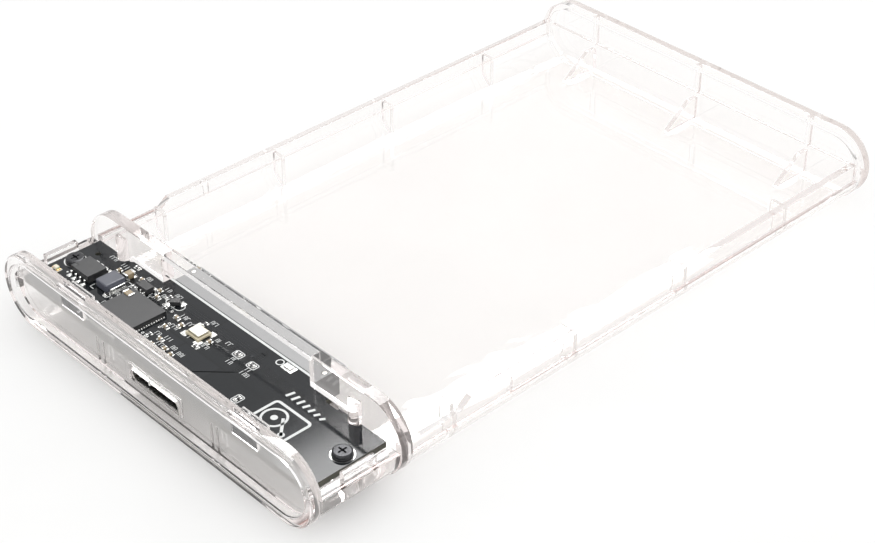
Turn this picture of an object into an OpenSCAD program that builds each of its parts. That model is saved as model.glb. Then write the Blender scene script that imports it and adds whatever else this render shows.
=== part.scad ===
// Open base of a clear tool-free enclosure for a 2.5 inch drive.
// One moulded tray carries a drive bay and a compartment with the bridge board:
// the board joins a USB 3 micro-B socket in the front wall to a SATA socket in the bay.
// X runs across the case, Y from the socket end to the rear end, Z up.
// The origin is the middle of the underside.

/* [Case] */
// Length over the two end frames
case_l = 134; // [126:0.5:142]
// Width over the frames
case_w = 80.5; // [79:0.5:86]
// Height of the frames
case_h = 14; // [13.5:0.1:16]
// Thickness of the front frame, front to back
front_frame_t = 2.1; // [1.8:0.1:2.2]
// Thickness of the middle frame
mid_frame_t = 2.25; // [1.8:0.05:2.4]
// Thickness of the rear frame
rear_frame_t = 3.1; // [2.8:0.1:3.6]
// How far the frames stand proud of the shell
frame_proud = 0.25; // [0.15:0.05:0.5]
// Width of the rim round each end wall
rim_w = 1.9; // [1.4:0.1:2.1]

/* [Bay] */
// Thickness of the floor
floor_t = 1.45; // [1.2:0.05:1.6]
// Height of the ledge that a cover would rest on
ledge_z = 5.7; // [4.5:0.1:6.4]
// Height of the side walls along the bay
wall_top = 9; // [8.4:0.1:10.4]
// Distance between the inner faces of the side walls
inner_w = 75.8; // [75.4:0.2:76.6]
// Distance between the tips of facing guide ribs
guide_w = 70.8; // [70.4:0.1:72]
// Distance from one guide rib to the next
guide_pitch = 27; // [22:0.5:28]
// Thickness of the ribs and gussets
rib_t = 0.8; // [0.6:0.1:1.2]

/* [Board] */
// Width of the board
board_w = 74; // [73:0.2:74.4]
// Thickness of the board
board_t = 1.1; // [0.8:0.1:1.2]
// Height of the board's upper face
board_top = 7.8; // [7.6:0.1:8.2]
// Distance between the two board screws
screw_span = 69.4; // [68.6:0.2:69.8]
// Diameter of the screw heads
screw_head_d = 3.4; // [3:0.1:3.8]

/* [Sockets] */
// Width of the USB socket's mouth
usb_w = 12.2; // [12.1:0.05:12.4]
// Width of the SATA socket's housing
sata_w = 37.4; // [37:0.1:37.6]
// Height of the SATA socket's housing
sata_h = 5; // [4.9:0.05:5.1]

/* [Hidden] */
$fn = 72;
eps = 0.01;

// Case planes
front_y = -case_l / 2;
rear_y = case_l / 2;
corner_r = case_h / 2;
corner_x = case_w / 2 - corner_r;
shell_x = case_w / 2 - frame_proud;
floor_z = frame_proud + floor_t;
inner_x = inner_w / 2;
front_recess = 1.4;
front_wall_t = 1.2;
front_wall_y = front_y + front_recess;
front_inner_y = front_wall_y + front_wall_t;
rear_wall_t = 1.8;
rear_inner_y = rear_y - rear_wall_t;
rear_upper_t = 1.1;
rear_rim_w = rim_w * 0.65;
rear_ledge_z = 7.3;
bay_back_y = rear_y - rear_frame_t;

// Middle frame and the compartment behind the front wall
compartment_d = 15.1;
mid_front_y = front_inner_y + compartment_d;
mid_back_y = mid_front_y + mid_frame_t;
compartment_wall_top = 7;
compartment_side_x = board_w / 2 + 0.3;
window_w = 38;
window_top = case_h - 1.1;
tongue_slot_x = 28.8;

// Side walls
lip_x = shell_x - 0.75;
low_wall_end_y = mid_back_y + 11.3;
low_wall_drop = 1.5;
wall_step_l = 2;
slot_y = mid_back_y + 21;
slot_w = 1.2;
first_guide_y = mid_back_y + 10.2;
guide_count = 4;
gusset_span = 27;
gusset_l = 8.4;
gusset_toe = 0.4;
gusset_top_l = 2.4;
gusset_h = 4.8;
guide_drop = 0.4;

// Latches and supports of the compartment
latch_l = 6.5;
latch_y = front_y + 10.5;
latch_x = shell_x - 1.9;
latch_t = 1;
latch_h = 1.7;
bead_r = 0.35;
bead_l = latch_l - 1.4;
hook_x = 22.5;
hook_w = 6.2;
hook_l = 2.4;
hook_z = 10.6;
hook_t = 1;
hook_web_t = 0.6;
rest_x = 15;
rest_gap = 0.75;
rest_t = 0.6;
rest_l = 1.6;
surround_w = 1.4;
surround_h = 2.1;
surround_proud = 0.1;

// Board
board_gap = 0.2;
board_z = board_top - board_t;
board_front_y = front_inner_y + 0.15;
board_rear_y = mid_front_y - board_gap;
tongue_y = mid_back_y - 0.15;
screw_x = screw_span / 2;
screw_y = front_y + 10.8;
screw_hole_d = 2.2;
screw_head_h = 0.9;
shank_d = 1.8;
shank_l = 4.6;
cross_w = 0.32;
cross_depth = 0.55;
pilot_d = 1.9;
post_d = 4;
peg_x = 30;
peg_r = 1.25;
peg_top = 12;
pin_hole = [-33.8, mid_front_y - 2.9];
tongue_left_x = -25.6;
tongue_right_x = 25;
tongue_slope = 2.4;
key_notch = [23.3, 0.4];

// Sockets
usb_z = 4.75;
usb_h = 2.5;
usb_l = 5.4;
usb_sheet = 0.25;
usb_small_w = 4.9;
usb_step = 0.6;
usb_bevel = 0.6;
usb_front_y = front_wall_y + 0.3;
sata_l = 5.4;
sata_top = board_top;
sata_z = sata_top - sata_h;
sata_front_y = tongue_y + 0.1;
sata_pitch = 1.27;
data_pins = 7;
power_pins = 15;
tongue_t = 1.2;
tongue_l = 3.9;
data_x = 12.1;
power_x = -5.6;
data_w = 10.2;
power_w = 20.6;
pocket_h = 2.4;
key_w = 1.2;
key_h = 1.9;
sata_peg = [sata_w / 2 - 0.9, sata_front_y + sata_l - 2.2];
sata_peg_d = 0.9;

// ---------- helpers ----------

// Extrudes an X-Z outline along Y, from y0 to y1
module along_y(y0, y1) {
    translate([0, y1, 0]) rotate([90, 0, 0]) linear_extrude(y1 - y0) children();
}

// Outline of the case with round ends, drawn in X-Z and set in by d
module stadium(d = 0) {
    translate([-corner_x, d]) square([2 * corner_x, case_h - 2 * d]);
    for (s = [-1, 1]) translate([s * corner_x, corner_r]) circle(r = corner_r - d);
}

// Box given by its lowest and highest corners
module span_box(lo, hi) {
    translate(lo) cube(hi - lo);
}

// The same shape on both sides of the case
module both_sides() {
    children();
    mirror([1, 0, 0]) children();
}

// ---------- tray ----------

// Outer skin of the shell between the frames, up to the height top
module shell_skin(top, half_w) {
    intersection() {
        union() {
            stadium(frame_proud);
            translate([-half_w, corner_r]) square([2 * half_w, corner_r]);
        }
        translate([-half_w, 0]) square([2 * half_w, top]);
    }
}

// Hollow of the shell: flat floor, round lower corners and upright inner faces
module shell_hollow(half_w) {
    intersection() {
        union() {
            stadium(floor_z);
            translate([-half_w, corner_r]) square([2 * half_w, case_h]);
        }
        translate([-half_w, floor_z]) square([2 * half_w, case_h]);
    }
}

// Trough of the bay with a stepped rim along both sides
module bay_trough() {
    difference() {
        along_y(mid_back_y - eps, bay_back_y + eps) shell_skin(wall_top, shell_x);
        along_y(mid_front_y, rear_inner_y) shell_hollow(inner_x);
        both_sides() span_box([lip_x, mid_back_y, ledge_z], [case_w, bay_back_y, case_h]);
        both_sides() low_wall_cut();
        both_sides() span_box([lip_x - 0.35, slot_y, ledge_z + 0.1], [case_w, slot_y + slot_w, 8.1]);
    }
}

// Lower stretch of the side wall next to the middle frame, with its sloped step
module low_wall_cut() {
    low_z = wall_top - low_wall_drop;
    translate([inner_x - 1, 0, 0]) rotate([90, 0, 90]) linear_extrude(case_w)
        polygon([[mid_back_y, low_z], [low_wall_end_y, low_z],
            [low_wall_end_y + wall_step_l, wall_top], [low_wall_end_y + wall_step_l, case_h],
            [mid_back_y, case_h]]);
}

// Trough of the board compartment, with thick side walls up to the board's edges
module compartment_trough() {
    difference() {
        along_y(front_wall_y, mid_front_y + eps) shell_skin(compartment_wall_top, shell_x);
        along_y(front_inner_y, mid_back_y) shell_hollow(compartment_side_x);
    }
}

// End wall at the front, set back inside its frame
module front_wall() {
    along_y(front_y, front_y + front_frame_t) difference() {
        stadium();
        stadium(rim_w);
    }
    along_y(front_wall_y, front_inner_y) stadium(rim_w - eps);
}

// Full frame between the compartment and the bay, open above and round the SATA socket
module mid_frame() {
    difference() {
        along_y(mid_front_y, mid_back_y) stadium();
        span_box([-window_w / 2, mid_front_y - 1, floor_z], [window_w / 2, mid_back_y + 1, window_top]);
        span_box([-tongue_slot_x, mid_front_y - 1, board_z - board_gap],
            [tongue_slot_x, mid_back_y + 1, board_top + board_gap]);
    }
}

// End wall at the rear: thick below its ledge, thin above, with a rim that stands inwards
module rear_wall() {
    difference() {
        along_y(bay_back_y, rear_y) stadium();
        along_y(bay_back_y - 1, rear_inner_y) intersection() {
            stadium(rear_rim_w);
            translate([-case_w, floor_z]) square([2 * case_w, case_h]);
        }
        along_y(bay_back_y, rear_y - rear_upper_t) intersection() {
            stadium(rear_rim_w);
            translate([-case_w, rear_ledge_z]) square([2 * case_w, case_h]);
        }
    }
}

// Triangular gusset on the floor against the rear wall, with an upright above the ledge
module rear_rib(x) {
    translate([x + rib_t / 2, 0, 0]) rotate([90, 0, -90]) mirror([1, 0, 0]) linear_extrude(rib_t)
        polygon([[rear_inner_y + 0.1, floor_z - 0.1], [rear_inner_y - gusset_l, floor_z - 0.1],
            [rear_inner_y - gusset_l, floor_z + gusset_toe],
            [rear_inner_y - gusset_top_l, floor_z + gusset_h], [rear_inner_y + 0.1, floor_z + gusset_h]]);
    span_box([x - rib_t / 2, rear_inner_y - 0.3, rear_ledge_z - 0.1],
        [x + rib_t / 2, rear_y - rear_upper_t + 0.1, case_h - 1]);
}

// Upright guide rib on a side wall of the bay
module guide_rib(y) {
    intersection() {
        span_box([guide_w / 2, y - rib_t / 2, floor_z - 0.1],
            [inner_x + 0.2, y + rib_t / 2, wall_top - guide_drop]);
        along_y(y - rib_t, y + rib_t) stadium(2 * frame_proud);
    }
}

// Post that takes a board screw
module screw_post() {
    translate([screw_x, screw_y, floor_z - 0.2]) cylinder(d = post_d, h = board_z - floor_z + 0.2);
}

// Round peg that fits a notch in the rear edge of the board
module board_peg() {
    translate([peg_x, mid_front_y, floor_z - 0.1]) cylinder(r = peg_r, h = peg_top - floor_z + 0.1);
}

// Snap tab on the side wall of the compartment, with its bead
module side_latch() {
    latch_top = compartment_wall_top + latch_h;
    span_box([latch_x, latch_y - latch_l / 2, compartment_wall_top - 0.1],
        [latch_x + latch_t, latch_y + latch_l / 2, latch_top]);
    translate([latch_x + latch_t, latch_y + bead_l / 2, latch_top - 0.5])
        rotate([90, 0, 0]) cylinder(r = bead_r, h = bead_l);
}

// Hook on the back of the front frame that holds the board's front edge down
module front_hook() {
    frame_back_y = front_y + front_frame_t;
    x0 = hook_x - hook_w / 2;
    x1 = hook_x + hook_w / 2;
    span_box([x0, frame_back_y - 0.4, hook_z], [x1, frame_back_y + hook_l, hook_z + hook_t]);
    span_box([x0, front_inner_y - 0.1, board_top + 0.1], [x1, front_inner_y + hook_web_t, hook_z + 0.2]);
}

// Pair of upright ribs under the front edge of the board
module board_rest() {
    for (s = [-1, 1]) translate([rest_x + s * rest_gap, 0, 0])
        span_box([-rest_t / 2, front_inner_y - 0.1, floor_z - 0.1],
            [rest_t / 2, front_inner_y + rest_l, board_z]);
}

// Surround of the USB socket, a shallow step round its mouth
module usb_surround() {
    half = usb_w / 2 + surround_w;
    span_box([-half, front_wall_y - surround_proud, usb_z - surround_h],
        [half, front_inner_y, usb_z + surround_h]);
}

// Opening in the front wall for the USB socket, with a wider seat for its shell behind
module usb_opening() {
    along_y(front_wall_y - 1, front_wall_y + 0.3) usb_mouth(0.1);
    span_box([-usb_w / 2 - 0.7, usb_front_y, usb_z - usb_h / 2 - 0.15],
        [usb_w / 2 + 0.7, front_inner_y + 1, board_z + 0.1]);
}

module tray() {
    color([0.93, 0.94, 0.94, 0.35]) difference() {
        union() {
            bay_trough();
            compartment_trough();
            front_wall();
            mid_frame();
            rear_wall();
            for (x = [-gusset_span, 0, gusset_span]) rear_rib(x);
            both_sides() for (i = [0 : guide_count - 1]) guide_rib(first_guide_y + i * guide_pitch);
            both_sides() screw_post();
            both_sides() board_peg();
            both_sides() side_latch();
            both_sides() front_hook();
            both_sides() board_rest();
            usb_surround();
        }
        usb_opening();
        both_sides() translate([screw_x, screw_y, floor_z + 0.3]) cylinder(d = pilot_d, h = case_h);
    }
}

// ---------- board ----------

// Outline with a tongue towards the bay
module board_outline() {
    half = board_w / 2;
    polygon([[-half, board_front_y], [half, board_front_y], [half, board_rear_y],
        [tongue_right_x, board_rear_y], [tongue_right_x, tongue_y], [tongue_left_x, tongue_y],
        [tongue_left_x - tongue_slope, board_rear_y], [-half, board_rear_y]]);
}

module circuit_board() {
    color([0.13, 0.14, 0.15]) difference() {
        translate([0, 0, board_z]) linear_extrude(board_t) difference() {
            board_outline();
            translate([key_notch[0], board_rear_y - key_notch[1]]) square([3, 4]);
        }
        both_sides() translate([screw_x, screw_y, 0]) cylinder(d = screw_hole_d, h = case_h);
        both_sides() translate([peg_x, mid_front_y, 0]) cylinder(r = peg_r + board_gap, h = case_h);
        translate(pin_hole) cylinder(d = 1, h = case_h);
    }
}

// Pan head screws with a cross recess
module board_screws() {
    color([0.1, 0.1, 0.11]) both_sides() translate([screw_x, screw_y, board_top]) difference() {
        union() {
            cylinder(d = screw_head_d, h = screw_head_h);
            translate([0, 0, -shank_l]) cylinder(d = shank_d, h = shank_l + 0.1);
        }
        for (a = [0, 90]) rotate(a)
            translate([-screw_head_d / 4, -cross_w / 2, screw_head_h - cross_depth])
                cube([screw_head_d / 2, cross_w, 1]);
    }
}

// ---------- USB socket ----------

// Mouth of the socket in X-Z, grown by g: a small half on the left and a wide half on the right,
// with a notch between them in the upper edge
module usb_mouth(g = 0) {
    half = usb_w / 2 + g;
    low = usb_z - usb_h / 2 + usb_sheet - g;
    high = usb_z + usb_h / 2 - usb_sheet + g;
    split = -usb_w / 2 + usb_small_w;
    notch = usb_step / 2 - g;
    polygon([[-half + usb_bevel, low], [half - usb_bevel / 2, low], [half, low + usb_bevel / 2],
        [half, high - usb_bevel], [half - usb_bevel, high], [split + notch, high],
        [split + notch, high - usb_step], [split - notch, high - usb_step], [split - notch, high],
        [-half + usb_bevel / 2, high], [-half, high - usb_bevel / 2], [-half, low + usb_bevel]]);
}

// Bent sheet shell with a solder leg on each side
module usb_shell() {
    leg_x = usb_w / 2 + usb_sheet;
    color([0.8, 0.8, 0.79]) {
        difference() {
            along_y(usb_front_y, usb_front_y + usb_l) usb_mouth(usb_sheet);
            along_y(usb_front_y - 1, usb_front_y + usb_l - 0.3) usb_mouth();
        }
        both_sides() span_box([leg_x, usb_front_y + 2.2, usb_z - 0.8],
            [leg_x + 0.3, usb_front_y + 3.8, board_z]);
    }
}

// Middle and width of the blades in the two halves of the socket
usb_blades = [[usb_small_w / 2 - usb_w / 2, 3.3], [usb_small_w / 2, 5.2]];
usb_blade_z = usb_z - 0.55;
usb_blade_t = 0.6;
usb_pins = 5;

// Back block and the two blades inside the socket
module usb_insulator() {
    back_y = usb_front_y + usb_l - 0.3;
    color([0.09, 0.09, 0.1]) {
        along_y(back_y - 1.2, back_y) usb_mouth(-0.05);
        for (b = usb_blades) translate([b[0], 0, usb_blade_z])
            span_box([-b[1] / 2, usb_front_y + 0.6, 0], [b[1] / 2, back_y - 1.1, usb_blade_t]);
    }
}

module usb_contacts() {
    color([0.83, 0.68, 0.36]) for (b = usb_blades, i = [0 : usb_pins - 1])
        translate([b[0] + (i - (usb_pins - 1) / 2) * b[1] / (usb_pins + 1), 0, usb_blade_z + usb_blade_t])
            span_box([-0.14, usb_front_y + 0.9, 0], [0.14, usb_front_y + usb_l - 1.5, 0.1]);
}

// ---------- SATA socket ----------

// Pocket for one plug half, open to the bay, with its L-shaped key
module sata_pocket(x, w) {
    mid_z = sata_z + sata_h / 2;
    y0 = sata_front_y + sata_l - tongue_l;
    y1 = sata_front_y + sata_l + 1;
    span_box([x - w / 2 - 0.5, y0, mid_z - pocket_h / 2], [x + w / 2 + 0.5, y1, mid_z + pocket_h / 2]);
    translate([x + w / 2 + 0.1, 0, 0]) span_box([-key_w / 2, y0, mid_z - key_h], [key_w / 2, y1, mid_z]);
}

// Blade that carries the contacts of one half
module sata_blade(x, w) {
    mid_z = sata_z + sata_h / 2;
    span_box([x - w / 2 + 0.4, sata_front_y + sata_l - tongue_l - 0.1, mid_z - tongue_t / 2],
        [x + w / 2 - 0.4, sata_front_y + sata_l - 0.3, mid_z + tongue_t / 2]);
}

module sata_housing() {
    color([0.55, 0.56, 0.57]) {
        difference() {
            span_box([-sata_w / 2, sata_front_y, sata_z], [sata_w / 2, sata_front_y + sata_l, sata_top]);
            sata_pocket(data_x, data_w);
            sata_pocket(power_x, power_w);
            both_sides() translate([sata_peg[0], sata_peg[1], sata_z - 1])
                cylinder(d = sata_peg_d + 0.1, h = sata_h + 2);
        }
        sata_blade(data_x, data_w);
        sata_blade(power_x, power_w);
    }
}

// Row of flat contacts on a blade, with their feet under the board
module sata_row(x, count) {
    mid_z = sata_z + sata_h / 2;
    for (i = [0 : count - 1]) translate([x + (i - (count - 1) / 2) * sata_pitch, 0, 0]) {
        span_box([-0.35, sata_front_y + sata_l - tongue_l, mid_z + tongue_t / 2],
            [0.35, sata_front_y + sata_l - 0.7, mid_z + tongue_t / 2 + 0.15]);
        span_box([-0.25, sata_front_y - 2, board_z - 0.2], [0.25, sata_front_y, board_z]);
    }
}

module sata_data_contacts() {
    color([0.83, 0.68, 0.36]) sata_row(data_x, data_pins);
}

module sata_power_contacts() {
    color([0.83, 0.68, 0.36]) sata_row(power_x, power_pins);
}

// Retaining pegs through the housing and the solder tabs under the board
module sata_pegs() {
    tab_x = sata_w / 2 - 1.6;
    color([0.78, 0.78, 0.76]) both_sides() {
        translate([sata_peg[0], sata_peg[1], sata_z - 0.3]) cylinder(d = sata_peg_d, h = sata_h + 0.3);
        span_box([tab_x - 0.7, sata_front_y - 2.4, board_z - 0.25], [tab_x + 0.7, sata_front_y, board_z]);
    }
}

// ---------- chips ----------

// Moulded chip body with a pin-one dimple
module chip_body(size, dimple = 0.35) {
    difference() {
        translate([-size[0] / 2, -size[1] / 2, size[3]]) cube([size[0], size[1], size[2]]);
        translate([-size[0] / 2 + 2 * dimple, -size[1] / 2 + 2 * dimple, size[3] + size[2] - 0.08])
            cylinder(r = dimple, h = 1);
    }
}

// Row of bent leads along X at one side of a body
module lead_row(count, pitch, y_in, y_out, width, height) {
    y_bend = y_in + (y_out - y_in) * 0.45;
    for (i = [0 : count - 1]) translate([(i - (count - 1) / 2) * pitch - width / 2, 0, 0]) {
        span_box([0, y_in, height - lead_t], [width, y_bend, height]);
        span_box([0, y_bend - lead_t, 0], [width, y_bend, height]);
        span_box([0, y_bend, 0], [width, y_out, lead_t]);
    }
}

// Places and sizes of the chips; a size holds length, width, height and the gap under the body
bridge_pos = [-16, front_y + 8.2, board_top];
bridge_size = [9, 9, 0.85, 0.02];
flash_pos = [-30, front_y + 10.4, board_top];
flash_size = [4.9, 3.9, 1.4, 0.1];
regulator_pos = [-19.6, front_y + 14.4, board_top];
regulator_size = [2.9, 1.6, 1, 0.1];
inductor_pos = [-24.6, front_y + 11, board_top];
inductor_size = [4, 4, 1.6, 0];
crystal_pos = [-3.8, front_y + 13.4, board_top];
terminal_size = [0.5, 3, 0.9];
crystal_size = [3.4, 2.9];
crystal_base_h = 0.45;
crystal_can_h = 0.4;
crystal_rim = 0.3;
diode_pos = [-12.9, front_y + 15.6, board_top];
diode_size = [1.8, 1.3, 0.8];
led_pos = [-35, mid_front_y - 10.6, board_top];
led_size = [1, 0.8, 0.6];
tab_pos = [13.2, mid_back_y - 1.7, board_top];
lead_t = 0.12;

module bridge_chip() {
    color([0.2, 0.2, 0.21]) translate(bridge_pos) chip_body(bridge_size, 0.4);
}

module bridge_chip_leads() {
    pads = 16;
    pitch = 0.5;
    color([0.8, 0.79, 0.76]) translate(bridge_pos) for (side = [0 : 3]) rotate(side * 90)
        for (i = [0 : pads - 1]) translate([bridge_size[0] / 2, (i - (pads - 1) / 2) * pitch - 0.12, 0])
            cube([0.35, 0.24, 0.2]);
}

module flash_chip() {
    color([0.17, 0.17, 0.18]) translate(flash_pos) chip_body(flash_size);
}

module flash_chip_leads() {
    color([0.86, 0.86, 0.84]) translate(flash_pos) for (a = [0, 180]) rotate(a)
        lead_row(4, 1.27, flash_size[1] / 2, flash_size[1] / 2 + 1.05, 0.42, 0.75);
}

module power_inductor() {
    body = [inductor_size[0] - 2 * 0.4, inductor_size[1], inductor_size[2]];
    color([0.25, 0.26, 0.29]) translate(inductor_pos) translate([-body[0] / 2, -body[1] / 2, 0]) cube(body);
}

module inductor_terminals() {
    x = inductor_size[0] / 2 - 0.15;
    color([0.8, 0.79, 0.76]) translate(inductor_pos) both_sides()
        translate([x - terminal_size[0] / 2, -terminal_size[1] / 2, 0]) cube(terminal_size);
}

module regulator_chip() {
    color([0.17, 0.17, 0.18]) translate(regulator_pos) chip_body(regulator_size, 0.2);
}

module regulator_leads() {
    color([0.86, 0.86, 0.84]) translate(regulator_pos) for (a = [0, 180]) rotate(a)
        lead_row(3, 0.95, regulator_size[1] / 2, regulator_size[1] / 2 + 0.6, 0.36, 0.55);
}

module crystal_base() {
    color([0.83, 0.79, 0.68]) translate(crystal_pos) translate(-crystal_size / 2)
        cube([crystal_size[0], crystal_size[1], crystal_base_h]);
}

module crystal_can() {
    can = crystal_size - 2 * [crystal_rim, crystal_rim];
    color([0.75, 0.74, 0.7]) translate(crystal_pos)
        translate([-can[0] / 2, -can[1] / 2, crystal_base_h]) cube([can[0], can[1], crystal_can_h]);
}

// ---------- passives ----------

// Places of the bulk capacitors: X, distance from the front, turn
bulk_places = [[-24.4, 14.6, 90], [-19.8, 11.2, 0]];

// Places of the small capacitors
capacitor_places = [[-27.1, 14.4, 90], [-22.1, 15.6, 0], [-16.4, 14.5, 0], [-17.6, 15.8, 90],
    [-9.6, 13.4, 0], [-7.5, 12.6, 90], [-6.6, 6.2, 0], [-4.3, 6.9, 90], [-6.8, 8, 0], [-2.4, 6.6, 90],
    [-8.9, 10.6, 0], [-0.8, 13.2, 90]];

// Places of the resistors
resistor_places = [[-21.4, 13.4, 0], [-18.9, 12.9, 90], [-15.1, 15.9, 90], [-23, 9, 90], [-22, 6, 90],
    [4.9, 14.7, 0], [8.7, 14.5, 0], [-5.1, 15.6, 90], [-1.4, 11, 0], [13.6, 7.6, 90], [-9.2, 7.4, 90],
    [-25.6, 17.2, 0], [-13.4, 13.4, 90]];

bulk_size = [2, 1.25, 1.1];
capacitor_size = [1, 0.5, 0.5];
resistor_size = [1, 0.5, 0.35];
end_share = 0.22;

// Puts a part at each place of a list, on the board
module at_places(places) {
    for (p = places) translate([p[0], front_y + p[1], board_top]) rotate(p[2]) children();
}

// Middle of a two-ended part
module passive_body(size) {
    body_l = size[0] * (1 - 2 * end_share);
    translate([-body_l / 2, -size[1] / 2, 0.02]) cube([body_l, size[1], size[2] - 0.02]);
}

// Metal ends of a two-ended part
module passive_ends(size) {
    end_l = size[0] * end_share;
    for (s = [-1, 1]) translate([s * (size[0] - end_l) / 2 - end_l / 2, -size[1] / 2, 0])
        cube([end_l, size[1], size[2]]);
}

module bulk_capacitors() {
    color([0.66, 0.58, 0.44]) at_places(bulk_places) passive_body(bulk_size);
}

module bulk_capacitor_ends() {
    color([0.82, 0.81, 0.78]) at_places(bulk_places) passive_ends(bulk_size);
}

module chip_capacitors() {
    color([0.62, 0.54, 0.42]) at_places(capacitor_places) passive_body(capacitor_size);
}

module chip_capacitor_ends() {
    color([0.82, 0.81, 0.78]) at_places(capacitor_places) passive_ends(capacitor_size);
}

module chip_resistors() {
    color([0.12, 0.12, 0.13]) at_places(resistor_places) passive_body(resistor_size);
}

module chip_resistor_ends() {
    color([0.82, 0.81, 0.78]) at_places(resistor_places) passive_ends(resistor_size);
}

module protection_diode() {
    color([0.17, 0.17, 0.18]) translate(diode_pos) rotate(45)
        translate([-diode_size[0] / 2, -diode_size[1] / 2, 0.1]) cube(diode_size);
}

module diode_leads() {
    color([0.82, 0.81, 0.78]) translate(diode_pos) rotate(45) both_sides()
        span_box([diode_size[0] / 2, -0.3, 0], [diode_size[0] / 2 + 0.5, 0.3, 0.2]);
}

module activity_led() {
    color([0.92, 0.9, 0.82]) translate(led_pos)
        translate([-led_size[0] / 2, -led_size[1] / 2, 0.02]) cube(led_size);
}

module led_terminals() {
    color([0.83, 0.68, 0.36]) translate(led_pos) both_sides()
        span_box([led_size[0] / 2, -led_size[1] / 2, 0], [led_size[0] / 2 + 0.3, led_size[1] / 2, 0.25]);
}

// Folded ground tab soldered at the rear edge
module ground_tab() {
    color([0.8, 0.78, 0.7]) translate(tab_pos) {
        translate([-1.3, -0.8, 0]) cube([2.6, 1.6, 0.15]);
        translate([-0.8, -0.5, 0.15]) cube([1.6, 0.9, 0.35]);
    }
}

tray();
circuit_board();
board_screws();
usb_shell();
usb_insulator();
usb_contacts();
sata_housing();
sata_data_contacts();
sata_power_contacts();
sata_pegs();
bridge_chip();
bridge_chip_leads();
flash_chip();
flash_chip_leads();
power_inductor();
inductor_terminals();
regulator_chip();
regulator_leads();
crystal_base();
crystal_can();
bulk_capacitors();
bulk_capacitor_ends();
chip_capacitors();
chip_capacitor_ends();
chip_resistors();
chip_resistor_ends();
protection_diode();
diode_leads();
activity_led();
led_terminals();
ground_tab();
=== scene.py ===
"""Looks of an open clear enclosure base for a 2.5 inch hard disk drive.

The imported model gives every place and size. Each sub-assembly class takes its nodes from the frame,
rounds their edges, adds the detail that a maker would see on the bench (solder, tracks, printed
marks) and dresses each piece in its finish. Lengths are in metres.
"""

import logging
import math
import random
from collections.abc import Callable, Iterable, Iterator
from dataclasses import dataclass, field
from enum import Enum

import bmesh
import bpy
from mathutils import Matrix, Vector


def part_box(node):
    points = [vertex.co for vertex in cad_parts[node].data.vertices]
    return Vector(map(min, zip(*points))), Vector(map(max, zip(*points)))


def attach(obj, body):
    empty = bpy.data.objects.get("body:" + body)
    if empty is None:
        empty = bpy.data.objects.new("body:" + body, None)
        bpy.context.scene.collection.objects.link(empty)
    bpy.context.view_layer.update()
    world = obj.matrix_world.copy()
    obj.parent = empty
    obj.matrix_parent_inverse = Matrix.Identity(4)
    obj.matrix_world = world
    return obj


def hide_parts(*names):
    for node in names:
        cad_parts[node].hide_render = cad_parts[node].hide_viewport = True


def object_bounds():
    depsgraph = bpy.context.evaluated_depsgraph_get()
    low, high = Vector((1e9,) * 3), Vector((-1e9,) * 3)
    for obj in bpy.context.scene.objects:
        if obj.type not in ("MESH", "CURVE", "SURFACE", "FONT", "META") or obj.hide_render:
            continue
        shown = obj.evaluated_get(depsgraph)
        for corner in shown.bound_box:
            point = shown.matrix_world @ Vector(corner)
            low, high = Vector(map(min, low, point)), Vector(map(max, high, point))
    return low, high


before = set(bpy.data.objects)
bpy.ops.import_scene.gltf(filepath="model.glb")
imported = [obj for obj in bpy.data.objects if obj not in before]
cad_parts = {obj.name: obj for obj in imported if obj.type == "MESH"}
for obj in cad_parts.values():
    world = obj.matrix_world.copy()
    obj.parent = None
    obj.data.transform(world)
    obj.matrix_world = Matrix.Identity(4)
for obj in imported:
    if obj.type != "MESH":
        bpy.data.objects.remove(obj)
CAD_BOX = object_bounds()

MM = 0.001
LOG = logging.getLogger("enclosure")
Colour = tuple[float, float, float]
Box = tuple[Vector, Vector]


class Slot(Enum):
    """Material slots."""

    CLEAR_PLASTIC = "clear_plastic"
    SOLDER_MASK = "solder_mask"
    BLACK_SCREW = "black_screw"
    SOCKET_METAL = "socket_metal"
    BLACK_PLASTIC = "black_plastic"
    GREY_PLASTIC = "grey_plastic"
    GOLD_PLATE = "gold_plate"
    CHIP_EPOXY = "chip_epoxy"
    SOLDER = "solder"
    FERRITE = "ferrite"
    CERAMIC = "ceramic"
    CRYSTAL_METAL = "crystal_metal"
    CAPACITOR_BODY = "capacitor_body"
    RESISTOR_BODY = "resistor_body"
    LED_BODY = "led_body"


class Extra(Enum):
    """Finishes of pieces that no slot covers."""

    # white ink, also used for the painted highlight along the board's rear edge
    WHITE_INK_AND_HIGHLIGHT = "white_ink_and_highlight"
    # painted shade: near-black discs that stand for the darkness inside the bores of plated holes
    HOLE_SHADE = "painted_hole_shade"
    FLOOR = "studio_floor"


# ---------- shader bench ----------


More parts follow.
